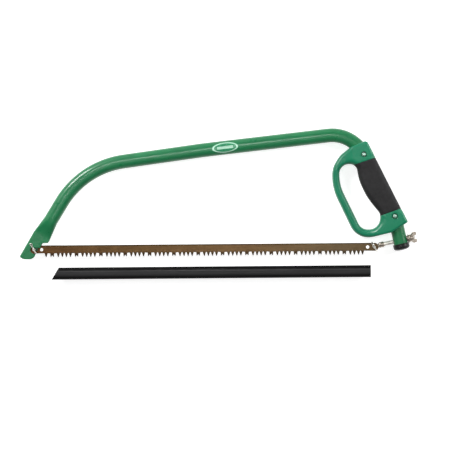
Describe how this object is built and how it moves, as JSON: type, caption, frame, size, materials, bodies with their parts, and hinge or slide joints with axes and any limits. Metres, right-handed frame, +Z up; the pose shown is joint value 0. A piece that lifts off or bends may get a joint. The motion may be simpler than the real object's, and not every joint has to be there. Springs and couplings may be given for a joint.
{
  "type": "bow saw",
  "caption": "Bow saw: flat-oval green tube bow, D-handle with knuckle guard and rubber grip, raker-tooth blade on pins, wing-nut tensioner and a slide-on blade guard.",
  "frame": {"origin": "on the surface the saw lies on, under the middle of its outline seen from above", "axes": "+X along the blade from the nose to the handle, +Y from the blade to the back of the bow, +Z up across the saw, which lies on its side"},
  "size_m": [0.7104, 0.266, 0.033],
  "materials": {
    "tube_paint": "gloss enamel over steel tube",
    "casing": "glossy moulded plastic",
    "grip": "matt soft rubber",
    "screw_steel": "zinc plated",
    "cap": "black moulded plastic",
    "badge": "glossy printed film",
    "pin_steel": "bright zinc",
    "zinc": "zinc plated",
    "blade_steel": "tempered brown spring steel",
    "guard_plastic": "black extruded plastic, satin"
  },
  "bodies": {
    "frame": {"bow_tube": "tube_paint", "handle_shell_left": "casing", "handle_shell_right": "casing", "grip_left": "grip", "grip_right": "grip", "handle_screws": "screw_steel", "handle_nuts": "screw_steel", "end_cap": "cap", "badge": "badge", "front_pin": "pin_steel", "front_cotter": "pin_steel", "saddle_washer": "zinc", "flat_washer": "zinc"},
    "wing_nut": {"wing_nut": "zinc"},
    "tensioner": {"tension_rod": "zinc", "blade_lug": "zinc", "rear_pin": "pin_steel", "rear_cotter": "pin_steel"},
    "blade": {"blade": "blade_steel"},
    "blade_guard": {"blade_guard": "guard_plastic"}
  },
  "joints": [
    {"name": "wing_nut_turn", "type": "hinge", "parent": "frame", "child": "wing_nut", "pos_m": [0.34092, -0.06419, 0.0165], "axis": [0.9767, 0.2147, 0], "range_deg": [0, 1440]},
    {"name": "rod_slide", "type": "slide", "parent": "frame", "child": "tensioner", "axis": [-0.9767, -0.2147, 0], "range_m": [0, 0.005]},
    {"name": "blade_swing", "type": "hinge", "parent": "tensioner", "child": "blade", "pos_m": [0.279, -0.079, 0.0165], "axis": [0, 0, 1], "range_deg": [0, 60]},
    {"name": "guard_slide", "type": "slide", "parent": "blade", "child": "blade_guard", "axis": [-0.2918, 0.9565, 0], "range_m": [0, 0.03941]}
  ],
  "couplings": [
    {"joint": "wing_nut_turn", "follows": "rod_slide", "rad_per_m": 5026.5}
  ]
}
